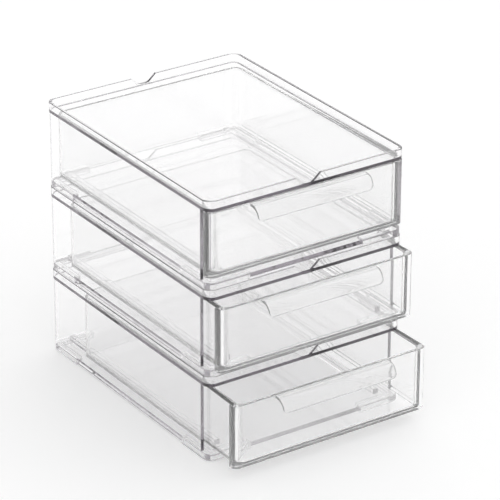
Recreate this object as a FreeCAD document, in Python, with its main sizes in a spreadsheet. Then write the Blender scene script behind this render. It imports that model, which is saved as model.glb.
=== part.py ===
"""Stack of three clear drawer units for craft stamps, as a parametric FreeCAD document.

Each unit is a lid tray, a case shell, a drawer with its pull handle and four corner feet.
The feet of one unit stand on the rim of the lid tray below, so the units lift apart.
Millimetres, +Z up. X runs across the drawers, and the drawers pull out towards -Y.
Every body is modelled in its unit's own frame: x = 0 and y = 0 in the middle of the lid
tray, z = 0 at the tip of the feet. Its Placement then puts it into the stack.
"""
import FreeCAD, Part
import os

import Sketcher

V = FreeCAD.Vector

doc = FreeCAD.newDocument("stamp_drawers")

# ---------------------------------------------------------------------------
# Driving sizes, in millimetres
# ---------------------------------------------------------------------------
SIZES = [
    # the unit as a whole
    ("case_width", 135.1, "across the lid tray"),
    ("case_depth", 173.3, "front to back of the lid tray"),
    ("unit_height", 55.1, "tip of the feet to the top of the rim"),
    ("corner_radius", 6.0, "outer corners of the lid tray in plan"),
    # lid tray
    ("rim_height", 5.0, "rim above the tray floor"),
    ("rim_wall", 1.8, "thickness of the rim"),
    ("rim_rounding", 0.5, "rounding of the rim's top edges"),
    ("lid_plate", 1.5, "thickness of the tray floor"),
    ("notch_top", 17.0, "finger notch in the rim, width at the top"),
    ("notch_bottom", 6.4, "finger notch, width at the bottom"),
    ("notch_depth", 4.6, "finger notch, below the top of the rim"),
    ("notch_rounding", 2.4, "bottom corners of the finger notch"),
    # case shell
    ("body_inset", 0.4, "case outline inside the lid outline"),
    ("case_wall", 2.0, "side and rear walls of the case"),
    ("base_level", 2.2, "underside of the case floor above the tip of the feet"),
    ("base_plate", 2.8, "thickness of the case floor"),
    ("wall_setback", 8.0, "front edge of the side walls behind the lid's front"),
    ("rib_height", 3.2, "runner ribs above the case floor"),
    ("rib_width", 3.5, "width of a runner rib"),
    ("rib_place", 55.0, "middle of a runner rib from the middle of the case"),
    # corner feet
    ("foot_lip", 0.75, "locating lip that drops inside the rim below"),
    ("foot_leg", 28.5, "length of each leg of a corner foot"),
    ("foot_width", 5.2, "width of each leg of a corner foot"),
    ("foot_clearance", 0.3, "locating lip to the inside of the rim below"),
    # drawer
    ("drawer_wall", 1.8, "side and rear walls of the drawer"),
    ("drawer_floor", 1.8, "thickness of the drawer floor"),
    ("front_plate", 2.2, "thickness of the drawer front"),
    ("front_radius", 4.5, "vertical corners of the drawer front"),
    ("ear_depth", 5.5, "depth of the ears that the front wraps round its sides"),
    ("tub_radius", 6.0, "rear corners of the drawer in plan"),
    ("floor_rounding", 2.0, "rounding where the drawer walls meet its floor"),
    ("edge_rounding", 0.4, "rounding of the drawer's free top edges"),
    ("side_gap", 1.0, "drawer side to case wall"),
    ("rear_gap", 4.5, "closed drawer to the rear wall of the case"),
    ("running_gap", 0.2, "drawer floor above the runner ribs"),
    ("lower_gap", 3.2, "drawer front above the case floor"),
    ("upper_gap", 0.6, "drawer below the lid tray"),
    ("gate_diameter", 12.0, "round moulding mark under the drawer floor"),
    ("gate_depth", 0.4, "depth of the moulding mark"),
    # pull handle
    ("handle_length", 79.0, "along the drawer front, at the root"),
    ("handle_taper", 0.8, "how much shorter the lip is at each end"),
    ("handle_corner", 3.2, "rounding of the lip's two corners"),
    ("handle_projection", 8.8, "lip in front of the drawer front"),
    ("handle_drop", 8.0, "lip below the root"),
    ("handle_wall", 1.8, "thickness of the handle"),
    ("handle_top_gap", 0.4, "root below the drawer's top edge"),
    ("handle_bend_out", 7.6, "where the handle turns down, out from the front"),
    ("handle_bend_radius", 6.4, "outside of the bend at the top of the handle"),
    # how far the drawers stand open at rest
    ("top_opening", 0.0, "top drawer, closed"),
    ("middle_opening", 11.5, "middle drawer, a little open"),
    ("bottom_opening", 26.0, "bottom drawer, open"),
]

sheet = doc.addObject("Spreadsheet::Sheet", "Sizes")
for row, (alias, value, meaning) in enumerate(SIZES, start=1):
    sheet.set(f"A{row}", alias)
    sheet.set(f"B{row}", str(value))
    sheet.set(f"C{row}", meaning)
    sheet.setAlias(f"B{row}", alias)
doc.recompute()


def size(formula):
    """Write every size that a formula names as a cell of the sheet."""
    words = formula.replace("(", " ( ").replace(")", " ) ").split()
    aliases = {alias for alias, _, _ in SIZES}
    return " ".join(f"Sizes.{word}" if word in aliases else word for word in words)


# Levels and lines that several pieces share, as formulas of the sizes above
HALF_WIDTH = "case_width / 2"
HALF_DEPTH = "case_depth / 2"
PITCH = "( unit_height - foot_lip )"
PLATE_TOP = "( unit_height - rim_height )"
PLATE_UNDERSIDE = f"( {PLATE_TOP} - lid_plate )"
BODY_HALF_WIDTH = f"( {HALF_WIDTH} - body_inset )"
BODY_HALF_DEPTH = f"( {HALF_DEPTH} - body_inset )"
BODY_RADIUS = "( corner_radius - body_inset )"
BASE_TOP = "( base_level + base_plate )"
WALL_HEIGHT = f"( {PLATE_UNDERSIDE} - base_level )"
CAVITY_HALF_WIDTH = f"( {BODY_HALF_WIDTH} - case_wall )"
CAVITY_REAR = f"( {BODY_HALF_DEPTH} - case_wall )"
TUB_HALF_WIDTH = f"( {CAVITY_HALF_WIDTH} - side_gap )"
TUB_REAR = f"( {CAVITY_REAR} - rear_gap )"
TUB_UNDERSIDE = f"( {BASE_TOP} + rib_height + running_gap )"
TUB_FLOOR_TOP = f"( {TUB_UNDERSIDE} + drawer_floor )"
FRONT_UNDERSIDE = f"( {BASE_TOP} + lower_gap )"
DRAWER_TOP = f"( {PLATE_UNDERSIDE} - upper_gap )"
HANDLE_TOP = f"( {DRAWER_TOP} - handle_top_gap )"
STACK_Y = "( bottom_opening + handle_projection ) / 2"


# ---------------------------------------------------------------------------
# Small helpers around sketches, pads, pockets and fillets
# ---------------------------------------------------------------------------
def new_body(label):
    body = doc.addObject("PartDesign::Body", label)
    body.Label = label
    return body


def outline(body, name, role, corners, level="0"):
    """A closed sketch on an origin plane; each corner is a pair of formulas."""
    sketch = body.newObject("Sketcher::SketchObject", name)
    plane = next(item for item in body.Origin.OriginFeatures if item.Role == role)
    sketch.AttachmentSupport = [(plane, "")]
    sketch.MapMode = "FlatFace"
    sketch.setExpression("AttachmentOffset.Base.z", size(level))
    count = len(corners)
    values = [[sheet.evalExpression(size(formula)) for formula in corner] for corner in corners]
    points = [V(float(across), float(along), 0) for across, along in values]
    for index in range(count):
        sketch.addGeometry(Part.LineSegment(points[index], points[(index + 1) % count]), False)
    for index in range(count):
        following = (index + 1) % count
        sketch.addConstraint(Sketcher.Constraint("Coincident", index, 2, following, 1))
    for index, corner in enumerate(corners):
        for kind, formula, value in zip(("DistanceX", "DistanceY"), corner, values[index]):
            place = sketch.addConstraint(Sketcher.Constraint(kind, -1, 1, index, 1, float(value)))
            sketch.setExpression(f"Constraints[{place}]", size(formula))
    return sketch


def rectangle(body, name, left, right, near, far, level="0"):
    corners = [(left, near), (right, near), (right, far), (left, far)]
    return outline(body, name, "XY_Plane", corners, level)


def pad(body, name, sketch, length):
    feature = body.newObject("PartDesign::Pad", name)
    feature.Profile = sketch
    feature.setExpression("Length", size(length))
    doc.recompute()
    return feature


def pocket_down(body, name, sketch, depth):
    feature = body.newObject("PartDesign::Pocket", name)
    feature.Profile = sketch
    feature.setExpression("Length", size(depth))
    return cut_checked(feature)


def pocket_across(body, name, sketch):
    """Cut right through the body, to both sides of the sketch."""
    feature = body.newObject("PartDesign::Pocket", name)
    feature.Profile = sketch
    feature.SideType = "Symmetric"
    feature.Type = "ThroughAll"
    return cut_checked(feature)


def cut_checked(feature):
    doc.recompute()
    if feature.Shape.Volume >= feature.BaseFeature.Shape.Volume:
        raise ValueError(f"{feature.Name} takes nothing away")
    return feature


def fillet(body, name, base, chosen, radius):
    """Round the edges of the base feature that the test named chosen picks."""
    edges = [f"Edge{place}" for place, edge in enumerate(base.Shape.Edges, start=1) if chosen(edge)]
    if not edges:
        raise ValueError(f"{name} has no edges to round")
    feature = body.newObject("PartDesign::Fillet", name)
    feature.Base = (base, edges)
    feature.setExpression("Radius", size(radius))
    doc.recompute()
    return feature


def number(formula):
    return float(sheet.evalExpression(size(formula)))


def runs_along(edge, direction):
    """True for a straight edge parallel to the direction."""
    if not isinstance(edge.Curve, (Part.Line, Part.LineSegment)):
        return False
    start, end = edge.Vertexes[0].Point, edge.Vertexes[-1].Point
    return (end - start).cross(direction).Length < 1e-6


def near(value, target):
    return abs(value - target) < 1e-4


UPRIGHT = V(0, 0, 1)
LENGTHWISE = V(0, 1, 0)


def upright_at(half_width=None, line=None):
    """A test for upright edges at plus or minus a half width, and at a line in depth."""
    def chosen(edge):
        middle = edge.CenterOfMass
        return (runs_along(edge, UPRIGHT)
                and (half_width is None or near(abs(middle.x), number(half_width)))
                and (line is None or near(middle.y, number(line))))
    return chosen


def level_at(height):
    """A test for edges that lie all along at one height."""
    def chosen(edge):
        box = edge.BoundBox
        return near(box.ZMin, number(height)) and near(box.ZMax, number(height))
    return chosen


def place(body, index, opening="0"):
    """Put a body of unit number index into the stack; opening draws it forwards."""
    body.setExpression("Placement.Base.y", size(f"{STACK_Y} - {opening}"))
    body.setExpression("Placement.Base.z", size(f"{index} * {PITCH}"))


# ---------------------------------------------------------------------------
# The pieces of one unit
# ---------------------------------------------------------------------------
def lid_tray(label):
    """Flat tray with a raised rim all round and a finger notch front and rear."""
    body = new_body(label)
    slab = rectangle(body, f"{label}_outline", f"-({HALF_WIDTH})", HALF_WIDTH,
                     f"-({HALF_DEPTH})", HALF_DEPTH, PLATE_UNDERSIDE)
    slab = pad(body, f"{label}_slab", slab, "lid_plate + rim_height")
    inner_width = f"({HALF_WIDTH} - rim_wall)"
    inner_depth = f"({HALF_DEPTH} - rim_wall)"
    recess = rectangle(body, f"{label}_recess_outline", f"-{inner_width}", inner_width,
                       f"-{inner_depth}", inner_depth, "unit_height")
    recess = pocket_down(body, f"{label}_recess", recess, "rim_height")
    corners = fillet(body, f"{label}_outer_corners", recess,
                     upright_at(half_width=HALF_WIDTH), "corner_radius")
    corners = fillet(body, f"{label}_inner_corners", corners,
                     upright_at(half_width=inner_width), "corner_radius - rim_wall")
    rim = fillet(body, f"{label}_rim_edges", corners, level_at("unit_height"), "rim_rounding")
    bottom = "unit_height - notch_depth"
    notch = outline(body, f"{label}_notch_outline", "XZ_Plane", [
        ("- notch_bottom / 2", bottom),
        ("notch_bottom / 2", bottom),
        ("notch_top / 2", "unit_height"),
        ("notch_top / 2", "unit_height + rim_height"),
        ("- notch_top / 2", "unit_height + rim_height"),
        ("- notch_top / 2", "unit_height"),
    ])
    notch = pocket_across(body, f"{label}_notch", notch)

    def notch_corner(edge):
        middle = edge.CenterOfMass
        return (runs_along(edge, LENGTHWISE) and near(middle.z, number(bottom))
                and near(abs(middle.x), number("notch_bottom / 2")))

    fillet(body, f"{label}_notch_corners", notch, notch_corner, "notch_rounding")
    return body


def case_shell(label):
    """Floor, rear wall and two side walls in one moulding, with two runner ribs.

    The floor is cut away at its four corners, where the feet are set in.
    """
    body = new_body(label)
    block = rectangle(body, f"{label}_outline", f"-{BODY_HALF_WIDTH}", BODY_HALF_WIDTH,
                      f"-{BODY_HALF_DEPTH}", BODY_HALF_DEPTH, "base_level")
    block = pad(body, f"{label}_block", block, WALL_HEIGHT)
    block = fillet(body, f"{label}_corners", block,
                   upright_at(half_width=BODY_HALF_WIDTH), BODY_RADIUS)
    cavity = rectangle(body, f"{label}_cavity_outline", f"-{CAVITY_HALF_WIDTH}",
                       CAVITY_HALF_WIDTH, f"-({HALF_DEPTH})", CAVITY_REAR, PLATE_UNDERSIDE)
    cavity = pocket_down(body, f"{label}_cavity", cavity, f"{PLATE_UNDERSIDE} - {BASE_TOP}")
    cavity = fillet(body, f"{label}_cavity_corners", cavity,
                    upright_at(half_width=CAVITY_HALF_WIDTH, line=CAVITY_REAR),
                    f"{BODY_RADIUS} - case_wall")
    mouth = rectangle(body, f"{label}_mouth_outline", f"-({HALF_WIDTH})", HALF_WIDTH,
                      f"-({HALF_DEPTH})", f"wall_setback - {HALF_DEPTH}", PLATE_UNDERSIDE)
    pocket_down(body, f"{label}_mouth", mouth, f"{PLATE_UNDERSIDE} - {BASE_TOP}")
    for corner, across, along in CORNERS:
        seat = foot_plan(body, f"{label}_seat_{corner}_outline", across, along, "0", BASE_TOP)
        pocket_down(body, f"{label}_seat_{corner}", seat, "base_plate")
    for side, name in ((-1, "left"), (1, "right")):
        middle = f"{side} * rib_place"
        rib = rectangle(body, f"{label}_rib_{name}_outline", f"{middle} - rib_width / 2",
                        f"{middle} + rib_width / 2", f"wall_setback - {HALF_DEPTH}",
                        CAVITY_REAR, BASE_TOP)
        pad(body, f"{label}_rib_{name}", rib, "rib_height")
    return body


def foot_plan(body, name, across, along, outset, level):
    """L-shaped outline of a foot, its outer corner set inside the lid's by outset."""
    corner_x = f"{across} * ( {HALF_WIDTH} - {outset} )"
    corner_y = f"{along} * ( {HALF_DEPTH} - {outset} )"
    end_x = f"{across} * ( {BODY_HALF_WIDTH} - foot_leg )"
    end_y = f"{along} * ( {BODY_HALF_DEPTH} - foot_leg )"
    inner_x = f"{across} * ( {BODY_HALF_WIDTH} - foot_width )"
    inner_y = f"{along} * ( {BODY_HALF_DEPTH} - foot_width )"
    return outline(body, name, "XY_Plane", [
        (corner_x, corner_y), (end_x, corner_y), (end_x, inner_y),
        (inner_x, inner_y), (inner_x, end_y), (corner_x, end_y)], level)


def corner_foot(label, across, along):
    """L-shaped foot let into the case floor at one corner; across and along are its signs."""
    body = new_body(label)
    for name, outset, radius, bottom, thickness in (
            ("sole", "body_inset", BODY_RADIUS, "foot_lip", f"{BASE_TOP} - foot_lip"),
            ("lip", "( rim_wall + foot_clearance )",
             "corner_radius - rim_wall - foot_clearance", "0", "foot_lip")):
        leg = foot_plan(body, f"{label}_{name}_outline", across, along, outset, bottom)
        leg = pad(body, f"{label}_{name}", leg, thickness)
        corner_x = f"{across} * ( {HALF_WIDTH} - {outset} )"
        corner_y = f"{along} * ( {HALF_DEPTH} - {outset} )"

        def corner_edge(edge):
            middle = edge.CenterOfMass
            return (runs_along(edge, UPRIGHT) and near(middle.x, number(corner_x))
                    and near(middle.y, number(corner_y)))

        fillet(body, f"{label}_{name}_corner", leg, corner_edge, radius)
    return body


def drawer(label):
    """Open tub with a front plate that wraps round both sides as short ears."""
    body = new_body(label)
    tub = rectangle(body, f"{label}_tub_outline", f"-{TUB_HALF_WIDTH}", TUB_HALF_WIDTH,
                    f"-({HALF_DEPTH})", TUB_REAR, TUB_UNDERSIDE)
    tub = pad(body, f"{label}_tub", tub, f"{DRAWER_TOP} - {TUB_UNDERSIDE}")
    tub = fillet(body, f"{label}_rear_corners", tub,
                 upright_at(half_width=TUB_HALF_WIDTH, line=TUB_REAR), "tub_radius")
    tub = fillet(body, f"{label}_lower_edges", tub, level_at(TUB_UNDERSIDE), "floor_rounding")
    front = rectangle(body, f"{label}_front_outline", f"-{BODY_HALF_WIDTH}", BODY_HALF_WIDTH,
                      f"-({HALF_DEPTH})", f"ear_depth - {HALF_DEPTH}", FRONT_UNDERSIDE)
    front = pad(body, f"{label}_front", front, f"{DRAWER_TOP} - {FRONT_UNDERSIDE}")
    front = fillet(body, f"{label}_front_corners", front,
                   upright_at(half_width=BODY_HALF_WIDTH, line=f"-({HALF_DEPTH})"),
                   "front_radius")
    inside = f"({TUB_HALF_WIDTH} - drawer_wall)"
    cavity = rectangle(body, f"{label}_cavity_outline", f"-{inside}", inside,
                       f"front_plate - {HALF_DEPTH}", f"{TUB_REAR} - drawer_wall", DRAWER_TOP)
    cavity = pocket_down(body, f"{label}_cavity", cavity, f"{DRAWER_TOP} - {TUB_FLOOR_TOP}")
    cavity = fillet(body, f"{label}_cavity_corners", cavity, upright_at(half_width=inside),
                    "tub_radius - drawer_wall")
    cavity = fillet(body, f"{label}_floor_edges", cavity, level_at(TUB_FLOOR_TOP),
                    "floor_rounding")
    cavity = fillet(body, f"{label}_top_edges", cavity, level_at(DRAWER_TOP), "edge_rounding")
    gate = body.newObject("PartDesign::Pocket", f"{label}_gate_mark")
    gate.Profile = gate_outline(body, f"{label}_gate_outline")
    gate.Reversed = True
    gate.setExpression("Length", size("gate_depth"))
    cut_checked(gate)
    return body


def gate_outline(body, name):
    """Circle in the middle of the drawer floor, on its underside."""
    sketch = body.newObject("Sketcher::SketchObject", name)
    plane = next(item for item in body.Origin.OriginFeatures if item.Role == "XY_Plane")
    sketch.AttachmentSupport = [(plane, "")]
    sketch.MapMode = "FlatFace"
    sketch.setExpression("AttachmentOffset.Base.z", size(TUB_UNDERSIDE))
    middle = f"( {TUB_REAR} - {HALF_DEPTH} ) / 2"
    circle = Part.Circle(V(0, number(middle), 0), UPRIGHT, number("gate_diameter / 2"))
    sketch.addGeometry(circle, False)
    sketch.addConstraint(Sketcher.Constraint("PointOnObject", 0, 3, -2))
    height = sketch.addConstraint(
        Sketcher.Constraint("DistanceY", -1, 1, 0, 3, number(middle)))
    sketch.setExpression(f"Constraints[{height}]", size(middle))
    width = sketch.addConstraint(
        Sketcher.Constraint("Diameter", 0, number("gate_diameter")))
    sketch.setExpression(f"Constraints[{width}]", size("gate_diameter"))
    return sketch


def handle(label):
    """Bent lip along the top of the drawer front, open below and at both ends."""
    body = new_body(label)
    face = f"- {HALF_DEPTH}"
    profile = [
        ("0", "0"),
        ("handle_bend_out", "0"),
        ("handle_projection", "handle_drop"),
        ("( handle_projection - handle_wall )", "handle_drop"),
        ("( handle_bend_out - handle_wall )", "handle_wall"),
        ("0", "handle_wall"),
    ]
    section = outline(body, f"{label}_section", "YZ_Plane", [
        (f"{face} - {out}", f"{HANDLE_TOP} - {down}") for out, down in profile])
    lip = pad(body, f"{label}_lip", section, "handle_length")
    lip.SideType = "Symmetric"
    doc.recompute()

    root = "handle_length / 2"
    lip_end = "( handle_length / 2 - handle_taper )"
    bottom = f"{HANDLE_TOP} - handle_drop"
    for side, name in ((-1, "left"), (1, "right")):
        wedge = outline(body, f"{label}_{name}_end_outline", "XZ_Plane", [
            (f"{side} * {root}", HANDLE_TOP),
            (f"{side} * {lip_end}", bottom),
            (f"{side} * {root}", bottom)])
        lip = pocket_across(body, f"{label}_{name}_end", wedge)

    def lip_corner(edge):
        middle = edge.CenterOfMass
        return (runs_along(edge, LENGTHWISE) and near(middle.z, number(bottom))
                and near(abs(middle.x), number(lip_end)))

    def bend(out, down):
        def chosen(edge):
            middle = edge.CenterOfMass
            return (runs_along(edge, V(1, 0, 0)) and near(middle.y, number(f"{face} - {out}"))
                    and near(middle.z, number(f"{HANDLE_TOP} - {down}")))
        return chosen

    shape = fillet(body, f"{label}_lip_corners", lip, lip_corner, "handle_corner")
    shape = fillet(body, f"{label}_outer_bend", shape, bend(*profile[1]), "handle_bend_radius")
    fillet(body, f"{label}_inner_bend", shape, bend(*profile[4]),
           "handle_bend_radius - handle_wall")
    return body


# ---------------------------------------------------------------------------
# The stack
# ---------------------------------------------------------------------------
UNITS = [("bottom", "bottom_opening"), ("middle", "middle_opening"), ("top", "top_opening")]
CORNERS = [("front_left", -1, -1), ("front_right", 1, -1), ("rear_left", -1, 1), ("rear_right", 1, 1)]

pieces = []
for index, (unit, opening) in enumerate(UNITS):
    fixed = [lid_tray(f"{unit}_lid_tray"), case_shell(f"{unit}_case_shell")]
    for corner, across, along in CORNERS:
        fixed.append(corner_foot(f"{unit}_foot_{corner}", across, along))
    for piece in fixed:
        place(piece, index)
    sliding = [drawer(f"{unit}_drawer"), handle(f"{unit}_handle")]
    for piece in sliding:
        place(piece, index, opening)
    pieces += fixed + sliding
doc.recompute()

# ---------------------------------------------------------------------------
# Checks, then one STEP file for each piece
# ---------------------------------------------------------------------------
for item in doc.Objects:
    if any(word in ("Invalid", "Error") for word in item.State):
        raise RuntimeError(f"{item.Name} is {item.State}")
for piece in pieces:
    if piece.Shape.isNull() or not piece.Shape.isValid() or len(piece.Shape.Solids) != 1:
        raise RuntimeError(f"{piece.Label} is not one sound solid")

os.makedirs("parts", exist_ok=True)
for piece in pieces:
    piece.Shape.exportStep(f"parts/{piece.Label}.step")
    box = piece.Shape.BoundBox
    print(f"{piece.Label:26s} {piece.Shape.Volume:10.1f} mm3  x {box.XMin:8.2f} {box.XMax:8.2f}"
          f"  y {box.YMin:8.2f} {box.YMax:8.2f}  z {box.ZMin:8.2f} {box.ZMax:8.2f}")
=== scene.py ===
"""Looks of the stack of three clear drawer units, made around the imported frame.

Every piece stands for one CAD node. It is modelled in its unit's own frame: x = 0 and y = 0
in the middle of the lid tray, z = 0 at the tips of the feet. Then it is moved to its unit.
"""

import math

import bmesh
import bpy
from bpy.props import FloatProperty, FloatVectorProperty, IntProperty, PointerProperty
from mathutils import Matrix, Vector


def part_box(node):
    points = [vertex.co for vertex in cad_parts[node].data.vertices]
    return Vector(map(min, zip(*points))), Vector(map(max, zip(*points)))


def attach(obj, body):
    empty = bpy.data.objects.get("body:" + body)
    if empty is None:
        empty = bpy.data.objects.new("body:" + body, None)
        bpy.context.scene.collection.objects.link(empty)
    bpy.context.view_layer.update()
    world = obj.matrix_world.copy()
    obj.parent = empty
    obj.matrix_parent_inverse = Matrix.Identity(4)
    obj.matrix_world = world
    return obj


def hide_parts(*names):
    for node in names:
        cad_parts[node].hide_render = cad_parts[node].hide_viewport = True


bl_info = {
    "name": "Stamp drawer stack",
    "version": (1, 0, 0),
    "blender": (4, 5, 0),
    "location": "View3D > Sidebar > Stamp drawers",
    "description": "Clear plastic lid trays, cases, drawers, handles and feet of a drawer stack",
    "category": "Object",
}

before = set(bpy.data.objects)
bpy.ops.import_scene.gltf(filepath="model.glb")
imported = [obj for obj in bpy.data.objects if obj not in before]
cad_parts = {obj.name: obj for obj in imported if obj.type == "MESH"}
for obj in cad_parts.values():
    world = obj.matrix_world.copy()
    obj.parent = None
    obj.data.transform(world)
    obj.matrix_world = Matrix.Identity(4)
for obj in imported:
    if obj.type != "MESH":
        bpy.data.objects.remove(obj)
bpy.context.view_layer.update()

MM = 0.001
X, Y, Z = range(3)
LOW, HIGH = range(2)                # the two ends of a box or a range
SIDES = (-1, 1)                     # towards the low and the high end of an axis
UNITS = ("bottom", "middle", "top")
CORNERS = {
    "front_left": (-1, -1),
    "front_right": (1, -1),
    "rear_left": (-1, 1),
    "rear_right": (1, 1),
}
SMALL = 0.005 * MM                  # places closer together than this are the same
SHARP_ANGLE = math.radians(50)      # an edge that turns more than this is softened
SEAT_ANGLE = math.radians(60)       # and more than this where a wall stands on a floor
SMOOTH_ANGLE = math.radians(35)     # faces that turn less than this are shaded as one
SOFT_STEPS = 3                      # faces across a softened edge
FACES_UP = 0.9                      # least Z of a level face's normal
FACES_ALONG = 0.1                   # most X of the normal of a face that runs along X

# Flow lines that the mould leaves in the plastic
FLOW_GRAIN = {                      # how close they lie along X, Y and Z
    "lid": (2, 1, 8),
    "case": (2, 1, 3),
    "foot": (4, 4, 4),
    "drawer": (1, 2, 3),
    "handle": (1, 4, 4),
}
FLOW_SCALE = 6.0
FLOW_DETAIL = 2.0
FLOW_RANGE = (0.35, 0.75)           # from the brightest polish to the most handled
RIPPLE_STRENGTH = 0.04
RIPPLE_HEIGHT = 0.2 * MM

# The stage
FLOOR_GAP = 0.02 * MM               # air between the feet and the floor
LEFT_TO_RIGHT = (-0.5, 0.5)         # X of the directions between which the room changes
FRONT_TO_BACK = (-0.2, 0.4)         # and their Y
CAMERA_REACH = (0.05, 100.0)        # nearest and farthest that the camera sees
PLATE_BOUNCES = 240                 # light may run a long way inside a clear plate
DIFFUSE_BOUNCES = 2
SHADOW_BOUNCES = 128                # clear surfaces that light may cross on its way


def box_size(node):
    """Width, depth and height of a CAD node."""
    low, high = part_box(node)
    return high - low


# The three units are alike, so the top one's pieces give the sizes
LID = box_size("top_lid_tray")
CASE = box_size("top_case_shell")
FOOT = box_size("top_foot_front_left")
DRAWER = box_size("top_drawer")
HANDLE = box_size("top_handle")


def level(node, side):
    """Height of a node's underside (LOW) or top (HIGH) above the tips of its unit's feet."""
    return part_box(f"top_{node}")[side].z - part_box("top_foot_front_left")[LOW].z


def length(name, description, default):
    """A property in metres."""
    return FloatProperty(name=name, description=description, default=default,
                         subtype="DISTANCE", unit="LENGTH", precision=5)


def share(name, description, default):
    """A property from 0 to 1."""
    return FloatProperty(name=name, description=description, default=default,
                         min=0.0, max=1.0, subtype="FACTOR")


def amount(name, description, default):
    """A property of 0 or more, without a unit."""
    return FloatProperty(name=name, description=description, default=default, min=0.0)


def tint(name, description, default):
    """A colour."""
    return FloatVectorProperty(name=name, description=description, default=default,
                               subtype="COLOR", size=len(default), min=0.0, max=1.0)


class StampDrawerSizes(bpy.types.PropertyGroup):
    """Wall thicknesses, roundings and places that the frame's boxes don't give."""

    lid_corner: length("Lid corner", "Rounding of the lid tray in plan", 6.0 * MM)
    rim_wall: length("Rim wall", "Thickness of the lid's rim", 1.8 * MM)
    rim_height: length("Rim height", "Rim above the tray floor", 5.0 * MM)
    rim_rounding: length("Rim rounding", "Rounding of the rim's top edges", 0.5 * MM)
    notch_top: length("Notch top", "Finger notch, width at the top of the rim", 17.0 * MM)
    notch_bottom: length("Notch bottom", "Finger notch, width at its bottom", 6.4 * MM)
    notch_depth: length("Notch depth", "Finger notch, below the top of the rim", 4.6 * MM)
    notch_rounding: length("Notch rounding", "Rounding of the notch's bottom corners", 5.0 * MM)
    case_corner: length("Case corner", "Rounding of the case in plan", 5.6 * MM)
    case_wall: length("Case wall", "Side and rear walls of the case", 2.0 * MM)
    base_plate: length("Case floor", "Thickness of the case floor", 2.8 * MM)
    wall_setback: length("Wall setback", "From the lid's front to the side walls' front ends",
                         8.0 * MM)
    rib_height: length("Rib height", "Runner ribs above the case floor", 3.2 * MM)
    rib_width: length("Rib width", "Width of a runner rib", 3.5 * MM)
    rib_place: length("Rib place", "Middle of a rib from the middle of the case", 55.0 * MM)
    foot_width: length("Foot width", "Width of a foot's legs", 5.2 * MM)
    foot_lip: length("Foot lip", "Height of the lip that drops inside the rim below", 0.75 * MM)
    foot_lip_inset: length("Foot lip inset", "Lip inside the foot's outer face", 1.7 * MM)
    drawer_wall: length("Drawer wall", "Side and rear walls of the drawer", 1.8 * MM)
    drawer_floor: length("Drawer floor", "Thickness of the drawer floor", 1.8 * MM)
    front_plate: length("Drawer front", "Thickness of the drawer front", 2.2 * MM)
    ear_depth: length("Ear depth", "Depth of the ears at the front's ends", 5.5 * MM)
    ear_width: length("Ear width", "How far an ear stands out from the tub's side", 3.0 * MM)
    tub_lift: length("Tub lift", "Tub's underside above the front's underside", 0.2 * MM)
    front_corner: length("Front corner", "Vertical corners of the drawer front", 4.5 * MM)
    tub_corner: length("Tub corner", "Rear corners of the drawer in plan", 6.0 * MM)
    floor_rounding: length("Floor rounding", "Where drawer walls meet the floor", 2.0 * MM)
    edge_rounding: length("Edge rounding", "Rounding of the drawer's top edges", 0.4 * MM)
    handle_wall: length("Handle wall", "Thickness of the pull handle", 1.8 * MM)
    handle_taper: length("Handle taper", "How much shorter the lip is at each end", 0.8 * MM)
    handle_corner: length("Lip corner", "Rounding of the lip's two corners", 3.2 * MM)
    lip_rounding: length("Lip rounding", "Rounding of the handle's free edges", 0.6 * MM)
    bend_out: length("Bend out", "Where the handle turns down, from the front", 7.6 * MM)
    bend_rounding: length("Bend rounding", "Outside of the handle's upper bend", 6.4 * MM)
    seam: length("Seam", "Air left where two pieces meet", 0.04 * MM)
    soft_edge: length("Soft edge", "Rounding of the moulded pieces' other edges", 0.25 * MM)
    arc_steps: IntProperty(name="Arc steps", description="Faces round a quarter turn",
                           default=8, min=2, max=24)


class StampDrawerFinish(bpy.types.PropertyGroup):
    """Clear plastic: what it lets through, and how polished it is."""

    clear: tint("Clear", "Colour that a surface lets through", (0.998, 0.998, 0.998))
    shade: tint("Shade", "Colour that a surface leaves of a lamp's light", (0.994, 0.994, 0.995))
    case_tint: tint("Case tint", "Colour left after a long way through", (0.38, 0.34, 0.39))
    lid_density: amount("Lid density", "How fast lid trays darken, per metre", 17.0)
    case_density: amount("Case density", "How fast cases and feet darken, per metre", 10.0)
    drawer_tint: tint("Drawer tint", "Colour left after a long way through", (0.5, 0.52, 0.5))
    drawer_density: amount("Drawer density", "How fast drawers darken, per metre", 2.0)
    handle_tint: tint("Handle tint", "Colour left after a long way through", (0.35, 0.36, 0.37))
    handle_density: amount("Handle density", "How fast handles darken, per metre", 14.0)
    drawer_haze: share("Drawer haze", "Share of light that drawers scatter", 0.05)
    handle_haze: share("Handle haze", "Share of light that handles scatter", 0.1)
    handle_wear: amount("Handle wear", "Roughness of handles, in times of the rest's", 2.5)
    refraction: FloatProperty(name="Refraction", description="Index of refraction",
                              default=1.56, min=1.0, max=2.5)
    polish_low: share("Roughness, least", "Roughness where the mould was brightest", 0.0)
    polish_high: share("Roughness, most", "Roughness where the plastic is handled", 0.03)


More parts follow.
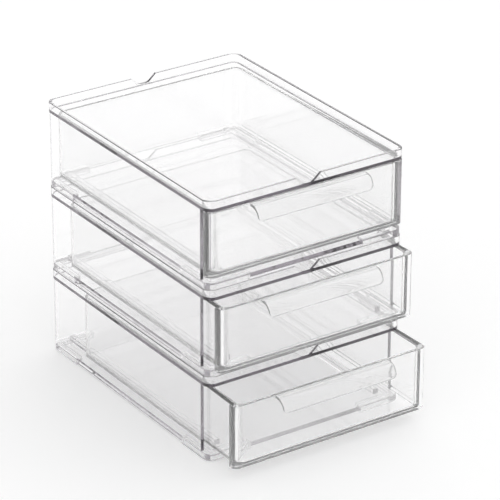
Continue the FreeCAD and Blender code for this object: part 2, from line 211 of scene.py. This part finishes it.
class StampDrawerStage(bpy.types.PropertyGroup):
    """Camera, floor and light."""

    azimuth: FloatProperty(name="Azimuth", description="Camera round the stack from its front",
                           default=math.radians(-34.144), subtype="ANGLE", unit="ROTATION")
    elevation: FloatProperty(name="Elevation", description="Camera above the horizon",
                             default=math.radians(25.78), subtype="ANGLE", unit="ROTATION")
    roll: FloatProperty(name="Roll", description="Camera turned about its own axis",
                        default=math.radians(0.209), subtype="ANGLE", unit="ROTATION")
    distance: length("Distance", "Camera from the point it looks at", 1.752)
    aim: FloatVectorProperty(name="Aim", description="Point that the camera looks at",
                             default=(-0.06925, -0.1133, 0.15378), size=3,
                             subtype="TRANSLATION", unit="LENGTH")
    lens: FloatProperty(name="Focal length", description="In millimetres", default=234.56,
                        min=1.0, unit="CAMERA")
    floor_span: length("Floor span", "Half the width of the floor", 30.0)
    floor_tone: tint("Floor tone", "Colour of the floor", (0.86, 0.86, 0.86))
    floor_glow: share("Floor glow", "Added to the floor where it is seen", 0.28)
    inner_glow: share("Inner glow", "Added to the floor where it is seen through plastic", 0.06)
    front_light: amount("Front light", "Strength of the room in front of the stack", 1.15)
    back_left: amount("Back left", "Strength of the room at the back left", 0.55)
    back_right: amount("Back right", "Strength of the room at the back right", 1.4)


# ---------------------------------------------------------------------------
# Mesh helpers
# ---------------------------------------------------------------------------
def block(bm, low, high):
    """A box between two corners."""
    low, high = Vector(low), Vector(high)
    corners = bmesh.ops.create_cube(bm, size=1.0)["verts"]
    bmesh.ops.scale(bm, vec=high - low, verts=corners)
    bmesh.ops.translate(bm, vec=(low + high) / 2, verts=corners)


def middle_of(edge):
    """The point halfway along an edge."""
    return (edge.verts[0].co + edge.verts[1].co) / 2


def runs_along(edge, axis):
    """True for an edge parallel to X, Y or Z."""
    step = edge.verts[1].co - edge.verts[0].co
    step[axis] = 0.0
    return step.length < SMALL


def other_way(axis):
    """Y for X, and X for Y."""
    return Y if axis == X else X


def near(value, target):
    """True for two places that are the same."""
    return abs(value - target) < SMALL


def round_edges(bm, edges, radius, steps):
    """Round like edges, whose faces all turn by one angle, to a true radius."""
    angle = edges[0].calc_face_angle()
    bmesh.ops.bevel(bm, geom=edges, offset=radius * math.tan(angle / 2), offset_type="OFFSET",
                    segments=steps, profile=0.5, affect="EDGES", material=-1)


def soften(bm, width, chosen=lambda edge: True):
    """Round off the sharp edges that the test picks."""
    sharp = [edge for edge in bm.edges
             if edge.is_manifold and edge.calc_face_angle() > SHARP_ANGLE and chosen(edge)]
    bmesh.ops.bevel(bm, geom=sharp, offset=width, offset_type="OFFSET", segments=SOFT_STEPS,
                    profile=0.5, affect="EDGES", material=-1)


def face_at(bm, axis, place):
    """The largest face that lies square to an axis at that place along it."""
    found = [face for face in bm.faces
             if all(near(corner.co[axis], place) for corner in face.verts)]
    return max(found, key=lambda face: face.calc_area())


def push(bm, face, step):
    """Extrude one face by a vector; gives the face at the end."""
    moved = bmesh.ops.extrude_discrete_faces(bm, faces=[face])["faces"][0]
    bmesh.ops.translate(bm, vec=step, verts=moved.verts)
    return moved


def push_open(bm, face, step):
    """Extrude a lone face and keep it as the closed start of the run."""
    made = bmesh.ops.extrude_face_region(bm, geom=[face], use_keep_orig=True)["geom"]
    moved = next(item for item in made if isinstance(item, bmesh.types.BMFace))
    bmesh.ops.translate(bm, vec=step, verts=moved.verts)
    return moved


def turn(bm, face, centre, angle, steps):
    """Spin one face about an upright axis; gives the face at the end."""
    last = bmesh.ops.spin(bm, geom=[face], cent=centre, axis=(0, 0, 1), angle=angle,
                          steps=steps, use_duplicate=False)["geom_last"]
    if face.is_valid:
        bmesh.ops.delete(bm, geom=[face], context="FACES_ONLY")
    return next(item for item in last if isinstance(item, bmesh.types.BMFace))


def slice_faces(bm, faces, axis, place):
    """Cut only these faces along a plane square to an axis; gives all their parts."""
    normal = Vector((0, 0, 0))
    normal[axis] = 1.0
    point = Vector((0, 0, 0))
    point[axis] = place
    corners = dict.fromkeys(corner for face in faces for corner in face.verts)
    edges = dict.fromkeys(edge for face in faces for edge in face.edges)
    cut = bmesh.ops.bisect_plane(bm, geom=[*faces, *edges, *corners], dist=SMALL,
                                 plane_co=point, plane_no=normal)
    return [item for item in cut["geom"] if isinstance(item, bmesh.types.BMFace)]


def add_piece(name, bm, place, body, material):
    """Turn a finished bmesh into the piece that stands for the CAD node of the same name."""
    bmesh.ops.remove_doubles(bm, verts=bm.verts, dist=SMALL)
    bmesh.ops.connect_verts_concave(bm, faces=bm.faces)     # or a U-shaped face folds over
    bmesh.ops.translate(bm, vec=place, verts=bm.verts)
    bmesh.ops.recalc_face_normals(bm, faces=bm.faces)
    if bm.calc_volume(signed=True) < 0:
        bmesh.ops.reverse_faces(bm, faces=bm.faces)
    open_edges = sum(not edge.is_manifold for edge in bm.edges)
    if open_edges:
        raise RuntimeError(f"{name} has {open_edges} open edges")
    mesh = bpy.data.meshes.new(f"{name}_mesh")
    bm.to_mesh(mesh)
    bm.free()
    mesh.shade_smooth()
    mesh.set_sharp_from_angle(angle=SMOOTH_ANGLE)
    mesh.materials.append(material)
    piece = bpy.data.objects.new(f"{name}_clear", mesh)
    bpy.context.scene.collection.objects.link(piece)
    weighted = piece.modifiers.new("Flat faces stay flat", "WEIGHTED_NORMAL")
    weighted.keep_sharp = True
    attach(piece, body)
    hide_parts(name)


def unit_place(unit):
    """From a unit's own frame to the stack's."""
    low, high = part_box(f"{unit}_lid_tray")
    return Vector((0, (low.y + high.y) / 2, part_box(f"{unit}_foot_front_left")[LOW].z))


def drawer_place(unit):
    """As unit_place, for the pieces that slide: drawn out as the frame's drawer is."""
    return Vector((0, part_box(f"{unit}_drawer")[LOW].y + LID.y / 2, unit_place(unit).z))


# ---------------------------------------------------------------------------
# The pieces
# ---------------------------------------------------------------------------
def lid_tray(sizes):
    """Flat tray with a raised rim and a finger notch front and rear."""
    bm = bmesh.new()
    half_width, half_depth = LID.x / 2, LID.y / 2
    bottom, top = level("lid_tray", LOW), level("lid_tray", HIGH)
    block(bm, (-half_width, -half_depth, bottom), (half_width, half_depth, top))
    uprights = [edge for edge in bm.edges if runs_along(edge, Z)]
    round_edges(bm, uprights, sizes.lid_corner, sizes.arc_steps)

    # The tray inside the rim
    recess = face_at(bm, Z, top)
    bmesh.ops.inset_region(bm, faces=[recess], thickness=sizes.rim_wall, use_even_offset=True)
    push(bm, recess, (0, 0, -sizes.rim_height))

    # The rim's top is cut at the notches' four corners, and its middle part is let down
    for side in SIDES:
        rim = [face for face in bm.faces if all(
            corner.co.y * side > half_depth - sizes.rim_wall - SMALL for corner in face.verts)
            and abs(face.normal.x) < FACES_ALONG]
        for width in (sizes.notch_top, sizes.notch_bottom):
            for end in SIDES:
                rim = slice_faces(bm, rim, X, end * width / 2)
    notch_floor = top - sizes.notch_depth
    for corner in bm.verts:
        if near(corner.co.z, top) and abs(corner.co.x) < sizes.notch_bottom / 2 + SMALL:
            corner.co.z = notch_floor
    bm.normal_update()
    folds = [edge for edge in bm.edges if runs_along(edge, Y)
             and near(middle_of(edge).z, notch_floor)
             and near(abs(middle_of(edge).x), sizes.notch_bottom / 2)]
    round_edges(bm, folds, sizes.notch_rounding, sizes.arc_steps // 2)
    bm.normal_update()
    soften(bm, sizes.rim_rounding, lambda edge: middle_of(edge).z > notch_floor - SMALL)
    bm.normal_update()
    soften(bm, sizes.soft_edge, lambda edge: middle_of(edge).z < bottom + SMALL)
    return bm


def case_shell(sizes):
    """Floor with cut-out corners, side walls and rear wall, and two runner ribs."""
    bm = bmesh.new()
    half_width, half_depth = CASE.x / 2, CASE.y / 2
    bottom = level("case_shell", LOW)
    floor_top = bottom + sizes.base_plate
    wall_top = level("case_shell", HIGH) - sizes.seam
    gap = sizes.seam
    inner_x, inner_y = half_width - sizes.foot_width - gap, half_depth - sizes.foot_width - gap
    tab_x, tab_y = half_width - FOOT.x - gap, half_depth - FOOT.y - gap
    block(bm, (-inner_x, -inner_y, bottom), (inner_x, inner_y, floor_top))

    # Between the feet the floor reaches the case's outside, and there the walls stand on it
    for axis, half, reach, tab in ((X, half_width, inner_x, tab_y),
                                   (Y, half_depth, inner_y, tab_x)):
        for side in SIDES:
            face = [face_at(bm, axis, side * reach)]
            for end in SIDES:
                face = slice_faces(bm, face, other_way(axis), end * tab)
            middle = min(face, key=lambda part: abs(part.calc_center_median()[other_way(axis)]))
            step = Vector((0, 0, 0))
            step[axis] = side * (half - reach)
            push(bm, middle, step)
            if (axis, side) == (Y, -1):
                continue                # no wall at the front
            bm.normal_update()
            strip = [part for part in bm.faces if part.normal.z > FACES_UP
                     and side * part.calc_center_median()[axis] > reach]
            parts = slice_faces(bm, strip, axis, side * (half - sizes.case_wall))
            outer = max(parts, key=lambda part: side * part.calc_center_median()[axis])
            push(bm, outer, (0, 0, wall_top - floor_top))
    bm.normal_update()

    def wall_end(axis, side, along):
        """The upright end face of one wall, at the end that along points to."""
        other = other_way(axis)
        reach = tab_y if axis == X else tab_x
        half = half_width if axis == X else half_depth
        return next(face for face in bm.faces
                    if all(near(corner.co[other], along * reach) for corner in face.verts)
                    and all(side * corner.co[axis] > half - sizes.case_wall - SMALL
                            for corner in face.verts)
                    and face.calc_center_median().z > floor_top)

    # The side walls run forward over the front feet, and round the rear corners
    front_line = -LID.y / 2 + sizes.wall_setback
    corner_x, corner_y = half_width - sizes.case_corner, half_depth - sizes.case_corner
    for side in SIDES:
        push(bm, wall_end(X, side, -1), (0, front_line + tab_y, 0))
        run = push(bm, wall_end(Y, 1, side), (side * (corner_x - tab_x), 0, 0))
        run = turn(bm, run, (side * corner_x, corner_y, 0), -side * math.pi / 2, sizes.arc_steps)
        meet = wall_end(X, side, 1)
        run = push(bm, run, (0, tab_y - corner_y, 0))
        bmesh.ops.delete(bm, geom=[run, meet], context="FACES_ONLY")
    bmesh.ops.remove_doubles(bm, verts=bm.verts, dist=SMALL)
    bm.normal_update()

    # The runner ribs, from the front of the side walls to just short of the rear wall
    rib_end = inner_y - sizes.soft_edge * 2
    for side in SIDES:
        floor = [face for face in bm.faces if face.normal.z > FACES_UP
                 and near(face.calc_center_median().z, floor_top)
                 and all(abs(corner.co.x) < inner_x + SMALL for corner in face.verts)]
        near_edge = side * (sizes.rib_place - sizes.rib_width / 2)
        far_edge = side * (sizes.rib_place + sizes.rib_width / 2)
        for place in (near_edge, far_edge):
            floor = slice_faces(bm, floor, X, place)
        floor = [face for face in floor
                 if near(face.calc_center_median().x, side * sizes.rib_place)]
        for place in (front_line, rib_end):
            floor = slice_faces(bm, floor, Y, place)
        rib = max(floor, key=lambda face: face.calc_area())
        push(bm, rib, (0, 0, sizes.rib_height))
    bmesh.ops.recalc_face_normals(bm, faces=bm.faces)
    bm.normal_update()

    def free_edge(edge):
        """True for the edges that no other piece meets."""
        middle = middle_of(edge)
        on_top = near(middle.z, wall_top)
        at_front = near(middle.y, front_line) and middle.z > floor_top + SMALL
        rib_top = near(middle.z, floor_top + sizes.rib_height) and abs(middle.x) < inner_x
        under = near(middle.z, bottom)
        return on_top or at_front or rib_top or under
    soften(bm, sizes.soft_edge, free_edge)
    return bm


def corner_foot(sizes, across, along):
    """L-shaped foot: its section run along one leg, round the corner and along the other."""
    bm = bmesh.new()
    gap = sizes.seam
    outer_x, outer_y = CASE.x / 2, CASE.y / 2
    top = level("case_shell", LOW) + sizes.base_plate - gap
    sole = sizes.foot_lip + gap
    section = [
        (outer_x, top), (outer_x, sole), (outer_x - sizes.foot_lip_inset, sole),
        (outer_x - sizes.foot_lip_inset, 0), (outer_x - sizes.foot_width, 0),
        (outer_x - sizes.foot_width, top)]
    start = outer_y - FOOT.y
    corners = [bm.verts.new((x, start, z)) for x, z in section]
    end = bm.faces.new(corners)
    corner = (outer_x - sizes.case_corner, outer_y - sizes.case_corner, 0)
    run = push_open(bm, end, (0, corner[1] - start, 0))
    run = turn(bm, run, corner, math.pi / 2, sizes.arc_steps)
    push(bm, run, (outer_x - FOOT.x - corner[0], 0, 0))
    bmesh.ops.scale(bm, vec=(across, along, 1), verts=bm.verts)
    bmesh.ops.recalc_face_normals(bm, faces=bm.faces)
    bm.normal_update()
    soften(bm, sizes.soft_edge)
    return bm


def drawer(sizes):
    """Open tub whose front is wider than its sides and ends in two solid ears."""
    bm = bmesh.new()
    front_y = -LID.y / 2
    rear_y = front_y + DRAWER.y
    half_front = DRAWER.x / 2
    half_tub = half_front - sizes.ear_width
    bottom, top = level("drawer", LOW), level("drawer", HIGH)
    ear_y = front_y + sizes.ear_depth

    # The front with its ears, and the tub drawn out of its rear face
    block(bm, (-half_front, front_y, bottom), (half_front, ear_y, top))
    parts = [face_at(bm, Y, ear_y)]
    for side in SIDES:
        parts = slice_faces(bm, parts, X, side * half_tub)
    middle = [face for face in parts if abs(face.calc_center_median().x) < half_tub / 2]
    middle = slice_faces(bm, middle, Z, bottom + sizes.tub_lift)
    tub = max(middle, key=lambda face: face.calc_area())
    push(bm, tub, (0, rear_y - ear_y, 0))
    bm.normal_update()
    lids = [face for face in bm.faces if near(face.calc_center_median().z, top)
            and face.normal.z > FACES_UP]
    bmesh.ops.dissolve_faces(bm, faces=lids)

    def upright_at(y):
        """The upright edges that stand at one place along the depth."""
        return [edge for edge in bm.edges if runs_along(edge, Z) and near(middle_of(edge).y, y)]
    round_edges(bm, upright_at(front_y), sizes.front_corner, sizes.arc_steps)
    round_edges(bm, upright_at(rear_y), sizes.tub_corner, sizes.arc_steps)
    bm.normal_update()
    lower = [edge for edge in bm.edges if all(
        near(corner.co.z, bottom + sizes.tub_lift) and corner.co.y > ear_y - SMALL
        for corner in edge.verts) and edge.calc_face_angle() > SEAT_ANGLE
        and middle_of(edge).y > ear_y + SMALL]
    round_edges(bm, lower, sizes.floor_rounding, sizes.arc_steps // 2)
    bm.normal_update()

    # The inside, let down from the top face
    inside = half_tub - sizes.drawer_wall
    mouth = [face_at(bm, Z, top)]
    for axis, place in ((X, -inside), (X, inside), (Y, front_y + sizes.front_plate),
                        (Y, rear_y - sizes.drawer_wall)):
        mouth = slice_faces(bm, mouth, axis, place)
    opening = max(mouth, key=lambda face: face.calc_area())
    depth = top - bottom - sizes.tub_lift - sizes.drawer_floor
    floor = push(bm, opening, (0, 0, -depth))
    bm.normal_update()
    inner_corners = [edge for corner in floor.verts for edge in corner.link_edges
                     if runs_along(edge, Z)]
    round_edges(bm, inner_corners, sizes.tub_corner - sizes.drawer_wall, sizes.arc_steps)
    bm.normal_update()
    floor_z = top - depth
    seat = [edge for edge in bm.edges if all(near(corner.co.z, floor_z) for corner in edge.verts)
            and edge.calc_face_angle() > SEAT_ANGLE]
    round_edges(bm, seat, sizes.floor_rounding, sizes.arc_steps // 2)
    bm.normal_update()
    soften(bm, sizes.edge_rounding, lambda edge: near(middle_of(edge).z, top))
    bm.normal_update()
    soften(bm, sizes.soft_edge, lambda edge: middle_of(edge).y < ear_y + SMALL
           and (near(middle_of(edge).z, bottom) or near(abs(middle_of(edge).x), half_front)))
    return bm


def pull_handle(sizes):
    """Lip bent from the drawer front: out and down, a little shorter at its lower edge."""
    bm = bmesh.new()
    front_y = -LID.y / 2 - sizes.seam
    root, bottom = level("handle", HIGH), level("handle", LOW)
    drop, reach = root - bottom, HANDLE.y - sizes.seam
    wall = sizes.handle_wall
    outer_bend = (sizes.bend_out, 0)
    inner_bend = (sizes.bend_out - wall, wall)
    profile = [(0, 0), outer_bend, (reach, drop), (reach - wall, drop), inner_bend, (0, wall)]
    half = HANDLE.x / 2
    corners = [bm.verts.new((-half, front_y - out, root - down)) for out, down in profile]
    end = bm.faces.new(corners)
    push_open(bm, end, (2 * half, 0, 0))
    bmesh.ops.recalc_face_normals(bm, faces=bm.faces)
    bm.normal_update()

    def fold(out, down, radius):
        """Round the bend at one corner of the profile."""
        edges = [edge for edge in bm.edges if runs_along(edge, X)
                 and near(middle_of(edge).y, front_y - out)
                 and near(middle_of(edge).z, root - down)]
        round_edges(bm, edges, radius, sizes.arc_steps)
        bm.normal_update()
    fold(*outer_bend, sizes.bend_rounding)
    fold(*inner_bend, sizes.bend_rounding - wall)

    # Both ends lean in towards the lip
    for corner in bm.verts:
        fall = (root - corner.co.z) / drop
        corner.co.x -= math.copysign(sizes.handle_taper * fall, corner.co.x)
    bm.normal_update()
    lip_corners = [edge for edge in bm.edges if near(middle_of(edge).z, bottom)
                   and runs_along(edge, Y)]
    round_edges(bm, lip_corners, sizes.handle_corner, sizes.arc_steps)
    bm.normal_update()
    soften(bm, sizes.lip_rounding, lambda edge: middle_of(edge).y < front_y - SMALL)
    return bm


# ---------------------------------------------------------------------------
# Materials
# ---------------------------------------------------------------------------
def link_nodes(tree, *pairs):
    """Link each pair of an output and an input."""
    for source, socket in pairs:
        tree.links.new(source, socket)


def clear_plastic(part, finish, depth_tint, density, haze=0.0, wear=1.0):
    """Polished clear plastic with faint flow lines; lamps reach what is behind it."""
    material = bpy.data.materials.new(f"{part}_clear_plastic")
    material.use_nodes = True
    tree = material.node_tree
    tree.nodes.clear()
    node = tree.nodes.new
    place = node("ShaderNodeTexCoord")
    stretch = node("ShaderNodeMapping")
    stretch.inputs["Scale"].default_value = FLOW_GRAIN[part]
    flow = node("ShaderNodeTexNoise")
    flow.inputs["Scale"].default_value = FLOW_SCALE
    flow.inputs["Detail"].default_value = FLOW_DETAIL
    polish = node("ShaderNodeMapRange")
    polish.inputs["From Min"].default_value = FLOW_RANGE[LOW]
    polish.inputs["From Max"].default_value = FLOW_RANGE[HIGH]
    polish.inputs["To Min"].default_value = finish.polish_low
    polish.inputs["To Max"].default_value = finish.polish_high * wear
    ripple = node("ShaderNodeBump")
    ripple.inputs["Strength"].default_value = RIPPLE_STRENGTH
    ripple.inputs["Distance"].default_value = RIPPLE_HEIGHT
    plastic = node("ShaderNodeBsdfPrincipled")
    plastic.inputs["Base Color"].default_value = (*finish.clear, 1.0)
    plastic.inputs["IOR"].default_value = finish.refraction
    plastic.inputs["Transmission Weight"].default_value = 1.0 - haze
    passed = node("ShaderNodeBsdfTransparent")
    passed.inputs["Color"].default_value = (*finish.shade, 1.0)
    rays = node("ShaderNodeLightPath")
    mix = node("ShaderNodeMixShader")
    depth = node("ShaderNodeVolumeAbsorption")
    depth.inputs["Color"].default_value = (*depth_tint, 1.0)
    depth.inputs["Density"].default_value = density
    output = node("ShaderNodeOutputMaterial")
    link_nodes(
        tree,
        (place.outputs["Object"], stretch.inputs["Vector"]),
        (stretch.outputs["Vector"], flow.inputs["Vector"]),
        (flow.outputs["Fac"], polish.inputs["Value"]),
        (flow.outputs["Fac"], ripple.inputs["Height"]),
        (polish.outputs["Result"], plastic.inputs["Roughness"]),
        (ripple.outputs["Normal"], plastic.inputs["Normal"]),
        (rays.outputs["Is Shadow Ray"], mix.inputs[0]),
        (plastic.outputs["BSDF"], mix.inputs[1]),
        (passed.outputs["BSDF"], mix.inputs[2]),
        (mix.outputs["Shader"], output.inputs["Surface"]),
        (depth.outputs["Volume"], output.inputs["Volume"]))
    return material


# ---------------------------------------------------------------------------
# The stage
# ---------------------------------------------------------------------------
def add_floor(stage):
    """A wide pale floor just under the feet."""
    bm = bmesh.new()
    bmesh.ops.create_grid(bm, x_segments=1, y_segments=1, size=stage.floor_span)
    bmesh.ops.translate(bm, vec=(0, 0, -FLOOR_GAP), verts=bm.verts)
    mesh = bpy.data.meshes.new("floor_mesh")
    bm.to_mesh(mesh)
    bm.free()
    floor = bpy.data.objects.new("floor", mesh)
    bpy.context.scene.collection.objects.link(floor)
    material = bpy.data.materials.new("pale_floor")
    material.use_nodes = True
    tree = material.node_tree
    tree.nodes.clear()
    paint = tree.nodes.new("ShaderNodeBsdfDiffuse")
    paint.inputs["Color"].default_value = (*stage.floor_tone, 1.0)
    glow = tree.nodes.new("ShaderNodeEmission")
    rays = tree.nodes.new("ShaderNodeLightPath")
    through = tree.nodes.new("ShaderNodeMath")
    through.operation = "MULTIPLY_ADD"
    through.inputs[1].default_value = stage.inner_glow
    through.inputs[2].default_value = stage.floor_glow
    lift = tree.nodes.new("ShaderNodeMath")
    lift.operation = "MULTIPLY"
    both = tree.nodes.new("ShaderNodeAddShader")
    output = tree.nodes.new("ShaderNodeOutputMaterial")
    link_nodes(
        tree,
        (rays.outputs["Is Transmission Ray"], through.inputs[0]),
        (through.outputs["Value"], lift.inputs[0]),
        (seen_rays(tree), lift.inputs[1]),
        (lift.outputs["Value"], glow.inputs["Strength"]),
        (paint.outputs["BSDF"], both.inputs[0]),
        (glow.outputs["Emission"], both.inputs[1]),
        (both.outputs["Shader"], output.inputs["Surface"]))
    mesh.materials.append(material)


def seen_rays(tree):
    """1 for rays from the camera and those that gloss or clear plastic passes on, else 0."""
    rays = tree.nodes.new("ShaderNodeLightPath")
    total = rays.outputs["Is Camera Ray"]
    for name in ("Is Glossy Ray", "Is Transmission Ray"):
        add = tree.nodes.new("ShaderNodeMath")
        add.operation = "MAXIMUM"
        link_nodes(tree, (total, add.inputs[0]), (rays.outputs[name], add.inputs[1]))
        total = add.outputs["Value"]
    return total


def add_world(stage):
    """Pale room, darker at the back left and brighter at the back right, seen as white."""
    world = bpy.data.worlds.new("studio")
    bpy.context.scene.world = world
    world.use_nodes = True
    tree = world.node_tree
    tree.nodes.clear()
    place = tree.nodes.new("ShaderNodeTexCoord")
    axes = tree.nodes.new("ShaderNodeSeparateXYZ")
    tree.links.new(place.outputs["Generated"], axes.inputs[0])

    def ramp(source, low, high, start, end):
        """A soft change from start to end, each a number or another node's output."""
        made = tree.nodes.new("ShaderNodeMapRange")
        made.interpolation_type = "SMOOTHSTEP"
        for name, value in (("From Min", low), ("From Max", high)):
            made.inputs[name].default_value = value
        for name, value in (("To Min", start), ("To Max", end)):
            if isinstance(value, float):
                made.inputs[name].default_value = value
            else:
                tree.links.new(value, made.inputs[name])
        tree.links.new(source, made.inputs["Value"])
        return made.outputs["Result"]

    across = ramp(axes.outputs["X"], *LEFT_TO_RIGHT, stage.back_left, stage.back_right)
    room = ramp(axes.outputs["Y"], *FRONT_TO_BACK, stage.front_light, across)
    rays = tree.nodes.new("ShaderNodeLightPath")
    seen = ramp(rays.outputs["Is Camera Ray"], 0.0, 1.0, room, 1.0)
    background = tree.nodes.new("ShaderNodeBackground")
    tree.links.new(seen, background.inputs["Strength"])
    output = tree.nodes.new("ShaderNodeOutputWorld")
    tree.links.new(background.outputs["Background"], output.inputs["Surface"])


def add_camera(stage):
    """The camera, on a ball round the point that it looks at."""
    data = bpy.data.cameras.new("camera")
    camera = bpy.data.objects.new("camera", data)
    bpy.context.scene.collection.objects.link(camera)
    back = Vector((math.sin(stage.azimuth) * math.cos(stage.elevation),
                   -math.cos(stage.azimuth) * math.cos(stage.elevation),
                   math.sin(stage.elevation)))
    aim = (-back).to_track_quat("-Z", "Y").to_matrix().to_4x4()
    roll = Matrix.Rotation(stage.roll, 4, "Z")
    place = Matrix.Translation(Vector(stage.aim) + back * stage.distance)
    camera.matrix_world = place @ aim @ roll
    data.lens = stage.lens
    data.clip_start, data.clip_end = CAMERA_REACH
    bpy.context.scene.camera = camera


def set_light(scene):
    """Plain colours, and enough bounces for light that runs along inside the clear plates."""
    scene.view_settings.view_transform = "Standard"
    scene.cycles.max_bounces = PLATE_BOUNCES
    scene.cycles.transmission_bounces = PLATE_BOUNCES
    scene.cycles.glossy_bounces = PLATE_BOUNCES
    scene.cycles.diffuse_bounces = DIFFUSE_BOUNCES
    scene.cycles.transparent_max_bounces = SHADOW_BOUNCES


# ---------------------------------------------------------------------------
# Operators
# ---------------------------------------------------------------------------
class MakeLidTrays(bpy.types.Operator):
    """Make the three lid trays"""

    bl_idname = "stamp_drawers.lid_trays"
    bl_label = "Lid trays"

    def execute(self, context):
        scene = context.scene
        finish = scene.stamp_drawer_finish
        plastic = clear_plastic("lid", finish, finish.case_tint, finish.lid_density)
        for unit in UNITS:
            add_piece(f"{unit}_lid_tray", lid_tray(scene.stamp_drawer_sizes), unit_place(unit),
                      f"{unit}_case", plastic)
        return {"FINISHED"}


class MakeCaseShells(bpy.types.Operator):
    """Make the three case shells"""

    bl_idname = "stamp_drawers.case_shells"
    bl_label = "Case shells"

    def execute(self, context):
        scene = context.scene
        finish = scene.stamp_drawer_finish
        plastic = clear_plastic("case", finish, finish.case_tint, finish.case_density)
        for unit in UNITS:
            add_piece(f"{unit}_case_shell", case_shell(scene.stamp_drawer_sizes),
                      unit_place(unit), f"{unit}_case", plastic)
        return {"FINISHED"}


class MakeCornerFeet(bpy.types.Operator):
    """Make the four corner feet of each unit"""

    bl_idname = "stamp_drawers.corner_feet"
    bl_label = "Corner feet"

    def execute(self, context):
        scene = context.scene
        finish = scene.stamp_drawer_finish
        plastic = clear_plastic("foot", finish, finish.case_tint, finish.case_density)
        for unit in UNITS:
            for corner, (across, along) in CORNERS.items():
                add_piece(f"{unit}_foot_{corner}",
                          corner_foot(scene.stamp_drawer_sizes, across, along),
                          unit_place(unit), f"{unit}_case", plastic)
        return {"FINISHED"}


class MakeDrawers(bpy.types.Operator):
    """Make the three drawers"""

    bl_idname = "stamp_drawers.drawers"
    bl_label = "Drawers"

    def execute(self, context):
        scene = context.scene
        finish = scene.stamp_drawer_finish
        plastic = clear_plastic("drawer", finish, finish.drawer_tint, finish.drawer_density,
                                finish.drawer_haze)
        for unit in UNITS:
            add_piece(f"{unit}_drawer", drawer(scene.stamp_drawer_sizes), drawer_place(unit),
                      f"{unit}_sliding_drawer", plastic)
        return {"FINISHED"}


class MakePullHandles(bpy.types.Operator):
    """Make the three pull handles"""

    bl_idname = "stamp_drawers.pull_handles"
    bl_label = "Pull handles"

    def execute(self, context):
        scene = context.scene
        finish = scene.stamp_drawer_finish
        plastic = clear_plastic("handle", finish, finish.handle_tint, finish.handle_density,
                                finish.handle_haze, finish.handle_wear)
        for unit in UNITS:
            add_piece(f"{unit}_handle", pull_handle(scene.stamp_drawer_sizes),
                      drawer_place(unit), f"{unit}_sliding_drawer", plastic)
        return {"FINISHED"}


class MakeStage(bpy.types.Operator):
    """Make the floor, the light and the camera"""

    bl_idname = "stamp_drawers.stage"
    bl_label = "Stage"

    def execute(self, context):
        stage = context.scene.stamp_drawer_stage
        add_floor(stage)
        add_world(stage)
        add_camera(stage)
        set_light(context.scene)
        return {"FINISHED"}


PIECE_OPERATORS = (MakeLidTrays, MakeCaseShells, MakeCornerFeet, MakeDrawers, MakePullHandles)


class StampDrawerPanel(bpy.types.Panel):
    """Sizes, finish and the steps that make the stack"""

    bl_idname = "VIEW3D_PT_stamp_drawers"
    bl_label = "Stamp drawers"
    bl_space_type = "VIEW_3D"
    bl_region_type = "UI"
    bl_category = "Stamp drawers"

    def draw(self, context):
        for maker in (*PIECE_OPERATORS, MakeStage):
            self.layout.operator(maker.bl_idname)
        for group in ("stamp_drawer_sizes", "stamp_drawer_finish", "stamp_drawer_stage"):
            settings = getattr(context.scene, group)
            box = self.layout.box()
            for name in settings.__annotations__:
                box.prop(settings, name)


CLASSES = (StampDrawerSizes, StampDrawerFinish, StampDrawerStage, *PIECE_OPERATORS, MakeStage,
           StampDrawerPanel)


def register():
    for item in CLASSES:
        bpy.utils.register_class(item)
    bpy.types.Scene.stamp_drawer_sizes = PointerProperty(type=StampDrawerSizes)
    bpy.types.Scene.stamp_drawer_finish = PointerProperty(type=StampDrawerFinish)
    bpy.types.Scene.stamp_drawer_stage = PointerProperty(type=StampDrawerStage)


def unregister():
    del bpy.types.Scene.stamp_drawer_stage
    del bpy.types.Scene.stamp_drawer_finish
    del bpy.types.Scene.stamp_drawer_sizes
    for item in reversed(CLASSES):
        bpy.utils.unregister_class(item)


def main():
    register()
    bpy.ops.stamp_drawers.lid_trays()
    bpy.ops.stamp_drawers.case_shells()
    bpy.ops.stamp_drawers.corner_feet()
    bpy.ops.stamp_drawers.drawers()
    bpy.ops.stamp_drawers.pull_handles()
    bpy.ops.stamp_drawers.stage()


if __name__ == "__main__":
    main()
